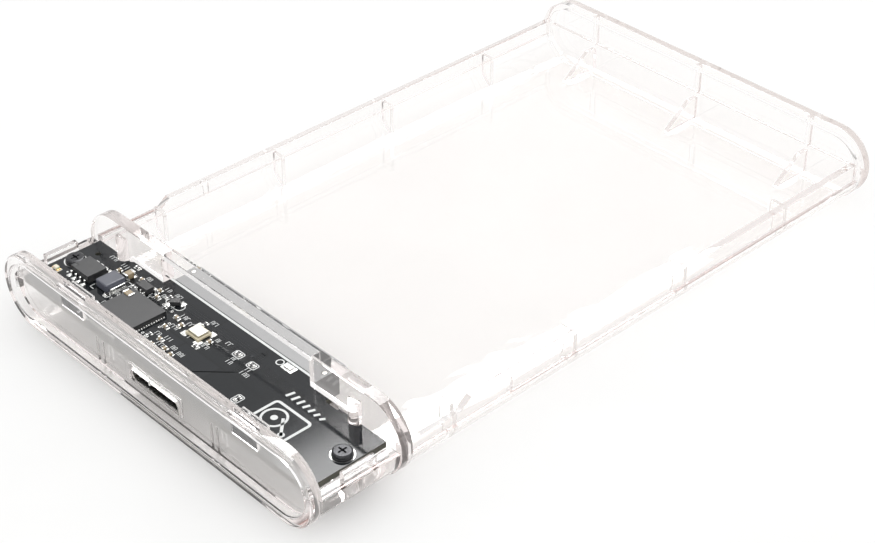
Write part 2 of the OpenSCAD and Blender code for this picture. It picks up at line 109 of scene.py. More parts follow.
class Field:
    """One output of a node tree, with arithmetic on its values."""

    def __init__(self, bench: "Bench", socket: bpy.types.NodeSocket) -> None:
        """Wraps a socket of the bench's tree."""
        self.bench = bench
        self.socket = socket

    def math(self, operation: str, *others: "Field | float", swap: bool = False) -> "Field":
        """Adds a Math node.

        Args:
            operation: the node's operation.
            others: the further terms.
            swap: True puts this field last.

        Returns:
            The node's value.
        """
        terms = [*others, self] if swap else [self, *others]
        return self.bench.output("ShaderNodeMath", {"operation": operation}, dict(enumerate(terms)))

    def __add__(self, other: "Field | float") -> "Field":
        """This field plus another."""
        return self.math("ADD", other)

    def __radd__(self, other: float) -> "Field":
        """A number plus this field."""
        return self.math("ADD", other, swap=True)

    def __sub__(self, other: "Field | float") -> "Field":
        """This field minus another."""
        return self.math("SUBTRACT", other)

    def __rsub__(self, other: float) -> "Field":
        """A number minus this field."""
        return self.math("SUBTRACT", other, swap=True)

    def __mul__(self, other: "Field | float") -> "Field":
        """This field times another."""
        return self.math("MULTIPLY", other)

    def __rmul__(self, other: float) -> "Field":
        """A number times this field."""
        return self.math("MULTIPLY", other, swap=True)

    def ease(self, low: float, high: float) -> "Field":
        """A smooth step of this field from 0 at low to 1 at high."""
        settings = {"interpolation_type": "SMOOTHSTEP"}
        inputs = {"Value": self, "From Min": low, "From Max": high}
        return self.bench.output("ShaderNodeMapRange", settings, inputs)


class Bench:
    """A node tree under construction."""

    def __init__(self, owner: bpy.types.Material | bpy.types.World) -> None:
        """Empties the owner's node tree and keeps it."""
        owner.use_nodes = True
        self.tree = owner.node_tree
        self.tree.nodes.clear()

    def node(self, kind: str, settings: dict | None = None, inputs: dict | None = None) -> bpy.types.Node:
        """Makes any node.

        Args:
            kind: the node's type.
            settings: its properties; "stops" are a ramp's (place, colour) pairs.
            inputs: socket names or numbers with their values, or the fields that feed them.

        Returns:
            The node.
        """
        made = self.tree.nodes.new(kind)
        for name, value in (settings or {}).items():
            if name == "stops":
                for stop, (place, colour) in zip(made.color_ramp.elements, value):
                    stop.position = place
                    stop.color = (*colour, 1)
            else:
                setattr(made, name, value)
        for name, value in (inputs or {}).items():
            if isinstance(value, Field):
                self.tree.links.new(value.socket, made.inputs[name])
            elif isinstance(value, tuple) and made.inputs[name].type == "RGBA":
                made.inputs[name].default_value = (*value, 1)
            else:
                made.inputs[name].default_value = value
        return made

    def output(
        self, kind: str, settings: dict | None = None, inputs: dict | None = None, name: str | int = 0
    ) -> Field:
        """Makes a node and returns one of its outputs."""
        return Field(self, self.node(kind, settings, inputs).outputs[name])

    def place(self, stretch: tuple[float, float, float] = (1, 1, 1)) -> Field:
        """Object coordinates, stretched along the axes."""
        at = self.output("ShaderNodeTexCoord", name="Object")
        return self.output("ShaderNodeMapping", {}, {"Vector": at, "Scale": stretch})

    def noise(self, at: Field, size: float, detail: float = 2) -> Field:
        """Noise with features of a size in metres."""
        return self.output("ShaderNodeTexNoise", {}, {"Vector": at, "Scale": 1 / size, "Detail": detail})

    def mix(self, share: Field, first: "Field | Colour", second: "Field | Colour") -> Field:
        """A colour between two, by share."""
        inputs = {0: share, 6: first, 7: second}
        return self.output("ShaderNodeMix", {"data_type": "RGBA"}, inputs, 2)

    def bump(self, height: Field, depth: float, strength: float = 1) -> Field:
        """A normal that stands for a relief of some depth in metres."""
        return self.output("ShaderNodeBump", {}, {"Height": height, "Distance": depth, "Strength": strength})

    def principled(self, inputs: dict) -> Field:
        """A Principled shader."""
        return self.output("ShaderNodeBsdfPrincipled", {}, inputs)

    def show(self, surface: Field, volume: Field | None = None) -> None:
        """Connects the shaders to the material's output."""
        shaders = {"Surface": surface} | ({"Volume": volume} if volume else {})
        self.node("ShaderNodeOutputMaterial", {}, shaders)


# ---------- finishes ----------


@dataclass(frozen=True)
class Finish:
    """A surface with a grain: colour, gloss and relief all vary a little with it.

    Attributes:
        colour: main colour.
        shade: colour of the grain's other side.
        grain: size of the grain in metres.
        roughness: mean roughness.
        spread: how far roughness moves with the grain.
        metallic: 1 for metal.
        relief: depth of the grain in metres.
        stretch: how the grain is drawn out along X, Y and Z.
        coat: weight of a clear coat.
    """

    colour: Colour
    shade: Colour
    grain: float
    roughness: float
    spread: float = 0.1
    metallic: float = 0
    relief: float = 0.004 * MM
    stretch: tuple[float, float, float] = (1, 1, 1)
    coat: float = 0

    def material(self, name: str) -> bpy.types.Material:
        """Makes the material."""
        made = bpy.data.materials.new(name)
        bench = Bench(made)
        self.draw(bench)
        return made

    def draw(self, bench: Bench) -> None:
        """Draws the finish on the bench."""
        grain = bench.noise(bench.place(self.stretch), self.grain, 4)
        wear = bench.noise(bench.place(), self.grain * 14, 3)
        tone = bench.mix(grain.ease(0.35, 0.7), self.colour, self.shade)
        inputs = {
            "Base Color": bench.mix(wear.ease(0.45, 0.75) * 0.5, tone, self.shade),
            "Roughness": (grain + wear - 1) * self.spread + self.roughness,
            "Metallic": self.metallic,
            "Coat Weight": self.coat,
            "Normal": bench.bump(grain, self.relief),
        }
        bench.show(bench.principled(inputs))


@dataclass(frozen=True)
class ClearPlastic(Finish):
    """Polished clear moulding with a warm tint through its depth.

    Attributes:
        depth_colour: colour that the depth lets through.
        depth_density: how fast the tint builds up, per metre.
        passed: what one wall lets through for the light on things behind it.
        ior: index of refraction.
        most_mirrored: inner reflections after which trapped light leaves straight.
        most_bent: bends after which it does.
        frost: share of frost on the inside of the front wall.
        frost_colour: its colour.
    """

    depth_colour: Colour = (0.62, 0.30, 0.24)
    depth_density: float = 13
    passed: Colour = (0.975, 0.973, 0.97)
    ior: float = 1.52
    most_mirrored: int = 3
    most_bent: int = 9
    frost: float = 0.3
    frost_colour: Colour = (0.93, 0.92, 0.91)

    def draw(self, bench: Bench) -> None:
        """Draws glass that bends sight and lets lamps reach what lies behind it."""
        flow = bench.noise(bench.place(self.stretch), self.grain, 2)
        scuffs = bench.noise(bench.place((9, 1, 3)), self.grain / 12, 4).ease(0.62, 0.8)
        inputs = {
            "Base Color": self.colour,
            "Transmission Weight": 1,
            "IOR": self.ior,
            "Roughness": scuffs * self.spread + self.roughness,
            "Normal": bench.bump(flow, self.relief),
        }
        polished = bench.principled(inputs)
        frosted = bench.principled({"Base Color": self.frost_colour, "Roughness": 0.6})
        body = bench.output("ShaderNodeMixShader", {}, {0: self.frost_share(bench), 1: polished, 2: frosted})
        clear = bench.output("ShaderNodeBsdfTransparent", {}, {"Color": self.passed})
        ray = bench.node("ShaderNodeLightPath")
        lamp = Field(bench, ray.outputs["Is Shadow Ray"])
        share = lamp.math("MAXIMUM", Field(bench, ray.outputs["Is Diffuse Ray"]))
        for depth_name, most in (("Glossy Depth", self.most_mirrored), ("Ray Depth", self.most_bent)):
            trapped = Field(bench, ray.outputs[depth_name]).math("GREATER_THAN", most - 0.5)
            share = share.math("MAXIMUM", trapped)
        mixed = bench.output("ShaderNodeMixShader", {}, {0: share, 1: body, 2: clear})
        depth = {"Color": self.depth_colour, "Density": self.depth_density}
        bench.show(mixed, bench.output("ShaderNodeVolumeAbsorption", {}, depth))

    def frost_share(self, bench: Bench) -> Field:
        """Share of frost, which only the inside of the front wall has."""
        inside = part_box("circuit_board")[0].y - 0.15 * MM
        away = (bench.output("ShaderNodeSeparateXYZ", {}, {0: bench.place()}, "Y") - inside).math("ABSOLUTE")
        normal = bench.output("ShaderNodeNewGeometry", name="Normal")
        facing = bench.output("ShaderNodeSeparateXYZ", {}, {0: normal}, "Y").math("ABSOLUTE")
        return (1 - away.ease(0.1 * MM, 0.2 * MM)) * facing.ease(0.8, 0.95) * self.frost


@dataclass(frozen=True)
class SolderMask(Finish):
    """Glossy lacquer over copper pours, with the bare laminate on the board's sides.

    Attributes:
        laminate: colour of the cut laminate.
        pour: size of a copper pour.
        weave: pitch of the glass cloth.
        gloss: how strongly the lacquer mirrors.
    """

    laminate: Colour = (0.12, 0.115, 0.085)
    pour: float = 7 * MM
    weave: float = 0.45 * MM
    gloss: float = 0.35

    def draw(self, bench: Bench) -> None:
        """Draws pours with gaps between them, the weave of the cloth and the cut sides."""
        at = bench.place()
        gap = 0.16 * MM / self.pour
        brick = {
            "Vector": at, "Color1": self.colour, "Color2": self.shade, "Mortar": self.laminate_gap(),
            "Scale": 1 / self.pour, "Mortar Size": gap, "Brick Width": 1.3, "Row Height": 0.62,
        }
        pours = bench.output("ShaderNodeTexBrick", {"offset": 0.37}, brick)
        dust = bench.noise(at, self.grain, 3)
        facing = bench.output("ShaderNodeNewGeometry", name="Normal")
        upright = bench.output("ShaderNodeSeparateXYZ", {}, {0: facing}, "Z").math("ABSOLUTE")
        side = 1 - upright.ease(0.45, 0.75)
        fibres = bench.noise(bench.place((0.2, 0.2, 9)), self.grain * 2, 3)
        cut = bench.mix(fibres, self.laminate, self.colour)
        parts = bench.node("ShaderNodeSeparateXYZ", {}, {0: at})
        turn = 2 * math.pi / self.weave
        across = (Field(bench, parts.outputs["X"]) * turn).math("SINE")
        along = (Field(bench, parts.outputs["Y"]) * turn).math("SINE")
        relief = across * along + dust * 0.2
        inputs = {
            "Base Color": bench.mix(side, pours, cut),
            "Roughness": dust * self.spread + side * 0.4 + self.roughness,
            "Coat Weight": self.coat,
            "Specular IOR Level": self.gloss,
            "Normal": bench.bump(relief, self.relief),
        }
        bench.show(bench.principled(inputs))

    def laminate_gap(self) -> Colour:
        """Colour of the gaps between pours, darker than both pours."""
        return tuple(0.7 * min(a, b) for a, b in zip(self.colour, self.shade))


@dataclass(frozen=True)
class MilkyResin(Finish):
    """Cloudy resin of a small lamp, partly see-through."""

    def draw(self, bench: Bench) -> None:
        """Draws a soft resin that scatters light inside."""
        cloud = bench.noise(bench.place(), self.grain, 3)
        inputs = {
            "Base Color": bench.mix(cloud, self.colour, self.shade),
            "Subsurface Weight": 0.4,
            "Subsurface Scale": 0.3 * MM,
            "Roughness": cloud * self.spread + self.roughness,
            "Normal": bench.bump(cloud, self.relief),
        }
        bench.show(bench.principled(inputs))


FINISHES: dict[Slot | Extra, Finish] = {
    Slot.CLEAR_PLASTIC: ClearPlastic(
        (1, 0.995, 0.99), (1, 1, 1), 9 * MM, 0.012, spread=0.05, relief=0.03 * MM, stretch=(1, 0.5, 1)
    ),
    Slot.SOLDER_MASK: SolderMask(
        (0.008, 0.010, 0.012), (0.013, 0.015, 0.018), 0.5 * MM, 0.06, spread=0.05, relief=0.0004 * MM
    ),
    Slot.BLACK_SCREW: Finish(
        (0.02, 0.02, 0.022), (0.06, 0.06, 0.065), 0.12 * MM, 0.24, metallic=0.6, relief=0.002 * MM
    ),
    Slot.SOCKET_METAL: Finish(
        (0.74, 0.73, 0.71), (0.56, 0.55, 0.52), 0.1 * MM, 0.26, metallic=1, stretch=(1, 8, 1)
    ),
    Slot.BLACK_PLASTIC: Finish((0.012, 0.012, 0.013), (0.024, 0.024, 0.026), 0.08 * MM, 0.5),
    Slot.GREY_PLASTIC: Finish((0.36, 0.36, 0.36), (0.29, 0.29, 0.295), 0.12 * MM, 0.42, relief=0.006 * MM),
    Slot.GOLD_PLATE: Finish((0.86, 0.64, 0.27), (0.72, 0.5, 0.2), 0.1 * MM, 0.24, metallic=1),
    Slot.CHIP_EPOXY: Finish(
        (0.016, 0.016, 0.017), (0.028, 0.028, 0.03), 0.06 * MM, 0.38, spread=0.16, relief=0.006 * MM
    ),
    Slot.SOLDER: Finish(
        (0.82, 0.82, 0.81), (0.62, 0.62, 0.6), 0.14 * MM, 0.2, spread=0.16, metallic=1, relief=0.006 * MM
    ),
    Slot.FERRITE: Finish((0.055, 0.060, 0.085), (0.085, 0.09, 0.115), 0.1 * MM, 0.4, coat=0.3),
    Slot.CERAMIC: Finish((0.62, 0.56, 0.4), (0.48, 0.42, 0.28), 0.12 * MM, 0.4, coat=0.3),
    Slot.CRYSTAL_METAL: Finish(
        (0.66, 0.64, 0.55), (0.46, 0.44, 0.37), 0.16 * MM, 0.3, spread=0.2, metallic=0.85, stretch=(1, 5, 1)
    ),
    Slot.CAPACITOR_BODY: Finish((0.38, 0.30, 0.19), (0.29, 0.22, 0.13), 0.07 * MM, 0.4, coat=0.2),
    Slot.RESISTOR_BODY: Finish((0.02, 0.02, 0.022), (0.05, 0.05, 0.055), 0.08 * MM, 0.3, coat=0.4),
    Slot.LED_BODY: MilkyResin((0.86, 0.84, 0.72), (0.74, 0.7, 0.55), 0.3 * MM, 0.25),
    # the same white serves the print and the painted highlight strip along the board's rear edge
    Extra.WHITE_INK_AND_HIGHLIGHT: Finish((0.80, 0.81, 0.80), (0.56, 0.58, 0.58), 0.06 * MM, 0.5, relief=0.003 * MM),
    # painted shade: this near-black colour stands for the darkness inside a bore
    Extra.HOLE_SHADE: Finish((0.004, 0.004, 0.004), (0.01, 0.01, 0.01), 0.1 * MM, 0.8),
    Extra.FLOOR: Finish((0.86, 0.86, 0.855), (0.84, 0.84, 0.835), 30 * MM, 0.75, spread=0.04, relief=0),
}


class Paintbox:
    """Makes each finish once and hands it out."""

    def __init__(self) -> None:
        """Starts with no material made."""
        self.made: dict[Slot | Extra, bpy.types.Material] = {}

    def take(self, finish: Slot | Extra) -> bpy.types.Material:
        """The material of a finish."""
        if finish not in self.made:
            self.made[finish] = FINISHES[finish].material(f"{finish.value}_finish")
        return self.made[finish]


PAINT = Paintbox()


# ---------- mesh bench ----------


class Blank:
    """A mesh that operators shape until it leaves as a finished piece."""

    def __init__(self) -> None:
        """Starts empty."""
        self.mesh = bmesh.new()

    @classmethod
    def copy_of(cls, *nodes: str) -> "Blank":
        """A merged copy of frame nodes, with flat stretches joined into whole faces."""
        blank = cls()
        for node in nodes:
            blank.mesh.from_mesh(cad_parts[node].data)
        bmesh.ops.remove_doubles(blank.mesh, verts=blank.mesh.verts, dist=0.001 * MM)
        bmesh.ops.recalc_face_normals(blank.mesh, faces=blank.mesh.faces)
        bmesh.ops.dissolve_limit(
            blank.mesh, angle_limit=math.radians(0.5), verts=blank.mesh.verts, edges=blank.mesh.edges
        )
        return blank

    def sharp_edges(self, degrees: float = 30) -> list[bmesh.types.BMEdge]:
        """The edges whose faces turn by more than an angle."""
        limit = math.radians(degrees)
        return [e for e in self.mesh.edges if e.is_manifold and e.calc_face_angle() > limit]

    def round(
        self, edges: Iterable[bmesh.types.BMEdge], width: float, segments: int = 2, clamp: bool = True
    ) -> None:
        """Rounds edges with a bevel.

        Args:
            edges: the edges.
            width: the bevel's width.
            segments: its steps.
            clamp: True keeps it from running past the next edge.
        """
        bmesh.ops.bevel(
            self.mesh, geom=list(edges), offset=width, offset_type="OFFSET", segments=segments,
            profile=0.5, affect="EDGES", clamp_overlap=clamp, material=-1,
        )

    def block(self, low: Vector, high: Vector) -> list[bmesh.types.BMVert]:
        """Adds a box between two corners and returns its vertices."""
        matrix = Matrix.Translation((low + high) / 2) @ Matrix.Diagonal((*(high - low), 1))
        return bmesh.ops.create_cube(self.mesh, size=1, matrix=matrix)["verts"]

    def strip(self, start: Vector, end: Vector, width: float, height: float) -> None:
        """Adds a flat bar from start to end, past both by half its width."""
        along = end - start
        turn = Matrix.Rotation(math.atan2(along.y, along.x), 4, "Z")
        size = Matrix.Diagonal((along.length + width, width, height, 1))
        lift = Vector((0, 0, height / 2))
        matrix = Matrix.Translation((start + end) / 2 + lift) @ turn @ size
        bmesh.ops.create_cube(self.mesh, size=1, matrix=matrix)

    def disc(self, centre: Vector, radius: float, height: float, segments: int = 24) -> None:
        """Adds a low cylinder that stands on its centre's height."""
        matrix = Matrix.Translation(centre + Vector((0, 0, height / 2)))
        bmesh.ops.create_cone(
            self.mesh, cap_ends=True, radius1=radius, radius2=radius, depth=height, segments=segments,
            matrix=matrix,
        )

    def ring(self, centre: Vector, radius: float, width: float, height: float, segments: int = 32) -> None:
        """Adds a flat ring of an outer radius."""
        made = bmesh.ops.create_circle(
            self.mesh, cap_ends=True, radius=radius, segments=segments, matrix=Matrix.Translation(centre)
        )
        self.outline(made["verts"], width, height)

    def frame_round(
        self, centre: Vector, size: tuple[float, float], corner: float, width: float, height: float
    ) -> None:
        """Adds the outline of a rectangle with round corners.

        Args:
            centre: its centre, on the surface it lies on.
            size: its outer size along X and Y.
            corner: its corner radius.
            width: the line's width.
            height: the line's height.
        """
        matrix = Matrix.Translation(centre) @ Matrix.Diagonal((*size, 1, 1))
        made = bmesh.ops.create_grid(self.mesh, x_segments=1, y_segments=1, size=0.5, matrix=matrix)
        cut = bmesh.ops.bevel(
            self.mesh, geom=made["verts"], offset=corner, offset_type="OFFSET", segments=4,
            profile=0.5, affect="VERTICES", material=-1,
        )
        self.outline(cut["verts"], width, height)

    def outline(self, verts: list[bmesh.types.BMVert], width: float, height: float) -> None:
        """Turns the flat face on some vertices into a raised band along its border."""
        face = next(f for f in verts[0].link_faces if len(f.verts) == len(verts))
        band = bmesh.ops.inset_individual(self.mesh, faces=[face], thickness=width)["faces"]
        bmesh.ops.delete(self.mesh, geom=[face], context="FACES")
        self.lift(band, height)

    def lift(self, faces: list[bmesh.types.BMFace], height: float) -> None:
        """Gives flat faces a height."""
        made = bmesh.ops.extrude_face_region(self.mesh, geom=faces)["geom"]
        top = [v for v in made if isinstance(v, bmesh.types.BMVert)]
        bmesh.ops.translate(self.mesh, verts=top, vec=(0, 0, height))

    def leave(self, name: str, crease: float = 40) -> bpy.types.Object:
        """Turns the mesh into an object with even shading.

        Args:
            name: the piece's name.
            crease: the angle past which an edge stays sharp, in degrees.

        Returns:
            The object, at the origin.
        """
        data = bpy.data.meshes.new(name)
        self.mesh.to_mesh(data)
        self.mesh.free()
        data.polygons.foreach_set("use_smooth", [True] * len(data.polygons))
        data.set_sharp_from_angle(angle=math.radians(crease))
        piece = bpy.data.objects.new(name, data)
        bpy.context.scene.collection.objects.link(piece)
        even = piece.modifiers.new("even_shading", "WEIGHTED_NORMAL")
        even.keep_sharp = True
        return piece


def islands(*nodes: str) -> list[Box]:
    """The boxes of the separate solids in some frame nodes, from left to right."""
    blank = Blank.copy_of(*nodes)
    left = set(blank.mesh.verts)
    found = []
    while left:
        todo = [left.pop()]
        low, high = todo[0].co.copy(), todo[0].co.copy()
        while todo:
            at = todo.pop()
            low = Vector(map(min, low, at.co))
            high = Vector(map(max, high, at.co))
            near = {e.other_vert(at) for e in at.link_edges} & left
            left -= near
            todo += near
        found.append((low, high))
    blank.mesh.free()
    return sorted(found, key=lambda box: tuple(box[0]))


def middle(box: Box) -> Vector:
    """The centre of a box."""
    return (box[0] + box[1]) / 2


@dataclass(frozen=True)
class RoundedPart:
    """A frame node shown as a copy with rounded edges.

    Attributes:
        node: the node it stands for.
        finish: its finish.
        width: width of the rounding.
        segments: steps in the rounding.
    """

    node: str
    finish: Slot
    width: float
    segments: int = 2

    def blank(self) -> Blank:
        """The rounded copy."""
        blank = Blank.copy_of(self.node)
        blank.round(blank.sharp_edges(), self.width, self.segments)
        return blank


@dataclass
class SubAssembly:
    """Pieces that come off the bench together."""

    parts: tuple[RoundedPart, ...] = ()
    dressed: dict[str, Slot | Extra] = field(default_factory=dict, init=False)

    def build(self) -> None:
        """Makes the rounded copies of the frame's nodes."""
        for part in self.parts:
            self.keep(part.blank(), f"{part.node}_finished", part.finish, part.node)

    def keep(self, blank: Blank, name: str, finish: Slot | Extra, *nodes: str) -> bpy.types.Object:
        """Takes a shaped mesh as a piece.

        Args:
            blank: the mesh.
            name: the piece's name.
            finish: its finish.
            nodes: the frame nodes that it stands for.

        Returns:
            The piece.
        """
        piece = blank.leave(name)
        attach(piece, "root")
        if nodes:
            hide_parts(*nodes)
        self.dressed[name] = finish
        return piece

    def dress(self) -> None:
        """Gives each piece its finish."""
        for name, finish in self.dressed.items():
            piece = bpy.data.objects[name]
            piece.data.materials.clear()
            piece.data.materials.append(PAINT.take(finish))
            LOG.info("%s: %d faces, %s", name, len(piece.data.polygons), finish.value)


# ---------- sub-assemblies ----------


@dataclass
class Tray(SubAssembly):
    """The clear moulded base.

    Attributes:
        rim_round: rounding of the two end rims.
        edge_round: rounding of every other edge.
        smallest_step: steps shorter than this are closed first.
        room: an edge's least length, as a multiple of its rounding.
        straight: least angle in degrees at which one edge counts as running on into another.
    """

    rim_round: float = 0.45 * MM
    edge_round: float = 0.09 * MM
    smallest_step: float = 0.06 * MM
    room: float = 2.2
    straight: float = 155

    def build(self) -> None:
        """Rounds the end rims generously and the other edges finely."""
        blank = Blank.copy_of("tray")
        bmesh.ops.dissolve_degenerate(blank.mesh, dist=self.smallest_step, edges=blank.mesh.edges)
        low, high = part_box("tray")
        for end in (low.y, high.y):
            rim = [e for e in blank.sharp_edges(60) if all(abs(v.co.y - end) < 0.01 * MM for v in e.verts)]
            blank.round(rim, self.rim_round, 4, clamp=False)
        blank.round(self.roomy_edges(blank, low, high), self.edge_round, 2, clamp=False)
        for vert in blank.mesh.verts:
            vert.co = Vector(map(max, low, map(min, high, vert.co)))
        self.keep(blank, "clear_tray", Slot.CLEAR_PLASTIC, "tray")

    def roomy_edges(self, blank: Blank, low: Vector, high: Vector) -> set[bmesh.types.BMEdge]:
        """The sharp edges with room for their rounding all along their run, between the rims.

        Args:
            blank: the tray's mesh.
            low: its lowest corner.
            high: its highest corner.

        Returns:
            The edges to round.
        """
        front, rear = low.y + 2 * self.rim_round, high.y - 2 * self.rim_round
        chosen = {
            e for e in blank.sharp_edges(32)
            if all(front < v.co.y < rear and self.has_room(v) for v in e.verts)
        }
        dropped = chosen
        while dropped:
            dropped = {e for e in chosen if any(self.runs_on(e, v, chosen) for v in e.verts)}
            chosen -= dropped
        return chosen

    def has_room(self, vert: bmesh.types.BMVert) -> bool:
        """True if every edge at a corner is long enough for its rounding."""
        return min(e.calc_length() for e in vert.link_edges) > self.room * self.edge_round

    def runs_on(self, edge: bmesh.types.BMEdge, vert: bmesh.types.BMVert, chosen: set) -> bool:
        """Looks for an edge outside the choice that carries on in line.

        Args:
            edge: an edge of the choice.
            vert: one of its ends.
            chosen: the choice.

        Returns:
            True if there is one past that end.
        """
        along = edge.other_vert(vert).co - vert.co
        others = (e for e in vert.link_edges if e not in chosen)
        return any(along.angle(e.other_vert(vert).co - vert.co) > math.radians(self.straight) for e in others)


@dataclass
class BoardScrews(SubAssembly):
    """The two black screws that hold the board.

    Attributes:
        dome: rounding of the heads' upper rims.
        recess: rounding of the cross recess.
    """

    dome: float = 0.42 * MM
    recess: float = 0.05 * MM

    def build(self) -> None:
        """Domes the heads and softens the cross recess."""
        blank = Blank.copy_of("board_screws")
        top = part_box("board_screws")[1].z
        heads = [middle(box) for box in islands("board_screws")]
        reach = (islands_width("board_screws") / 2) - 0.02 * MM
        crown = [e for e in blank.sharp_edges(60) if self.on_crown(e, top, heads, reach)]
        blank.round(crown, self.dome, 5, clamp=False)
        blank.round(blank.sharp_edges(50), self.recess, 2)
        self.keep(blank, "board_screws_domed", Slot.BLACK_SCREW, "board_screws")

    def on_crown(self, edge: bmesh.types.BMEdge, top: float, heads: list[Vector], reach: float) -> bool:
        """True if an edge lies on the upper rim of a head."""
        return all(
            abs(v.co.z - top) < 0.01 * MM and min((v.co.xy - h.xy).length for h in heads) > reach
            for v in edge.verts
        )


def islands_width(node: str) -> float:
    """The width of a node's first separate solid."""
    low, high = islands(node)[0]
    return high.x - low.x


@dataclass
class UsbSocket(SubAssembly):
    """The USB socket: bent shell, insulator and contacts."""

    parts: tuple[RoundedPart, ...] = (
        RoundedPart("usb_shell", Slot.SOCKET_METAL, 0.07 * MM, 3),
        RoundedPart("usb_insulator", Slot.BLACK_PLASTIC, 0.08 * MM),
        RoundedPart("usb_contacts", Slot.GOLD_PLATE, 0.03 * MM),
    )


@dataclass
class SataSocket(SubAssembly):
    """The SATA socket: housing, contacts and retaining pegs."""

    parts: tuple[RoundedPart, ...] = (
        RoundedPart("sata_housing", Slot.GREY_PLASTIC, 0.15 * MM, 3),
        RoundedPart("sata_data_contacts", Slot.GOLD_PLATE, 0.04 * MM),
        RoundedPart("sata_power_contacts", Slot.GOLD_PLATE, 0.04 * MM),
        RoundedPart("sata_pegs", Slot.SOCKET_METAL, 0.1 * MM),
    )


@dataclass
class BoardParts(SubAssembly):
    """Chips, crystal, inductor and the small parts on the board."""

    parts: tuple[RoundedPart, ...] = (
        RoundedPart("bridge_chip", Slot.CHIP_EPOXY, 0.09 * MM, 3),
        RoundedPart("bridge_chip_leads", Slot.SOLDER, 0.03 * MM),
        RoundedPart("flash_chip", Slot.CHIP_EPOXY, 0.12 * MM, 3),
        RoundedPart("flash_chip_leads", Slot.SOLDER, 0.04 * MM),
        RoundedPart("regulator_chip", Slot.CHIP_EPOXY, 0.1 * MM, 3),
        RoundedPart("regulator_leads", Slot.SOLDER, 0.04 * MM),
        RoundedPart("power_inductor", Slot.FERRITE, 0.3 * MM, 4),
        RoundedPart("inductor_terminals", Slot.SOLDER, 0.1 * MM),
        RoundedPart("crystal_base", Slot.CERAMIC, 0.12 * MM),
        RoundedPart("crystal_can", Slot.CRYSTAL_METAL, 0.18 * MM, 4),
        RoundedPart("bulk_capacitors", Slot.CAPACITOR_BODY, 0.1 * MM),
        RoundedPart("bulk_capacitor_ends", Slot.SOLDER, 0.1 * MM, 3),
        RoundedPart("chip_capacitors", Slot.CAPACITOR_BODY, 0.05 * MM),
        RoundedPart("chip_capacitor_ends", Slot.SOLDER, 0.06 * MM),
        RoundedPart("chip_resistors", Slot.RESISTOR_BODY, 0.04 * MM),
        RoundedPart("chip_resistor_ends", Slot.SOLDER, 0.05 * MM),
        RoundedPart("protection_diode", Slot.CHIP_EPOXY, 0.1 * MM),
        RoundedPart("diode_leads", Slot.SOLDER, 0.04 * MM),
        RoundedPart("activity_led", Slot.LED_BODY, 0.1 * MM, 3),
        RoundedPart("led_terminals", Slot.GOLD_PLATE, 0.04 * MM),
        RoundedPart("ground_tab", Slot.SOLDER, 0.08 * MM),
    )


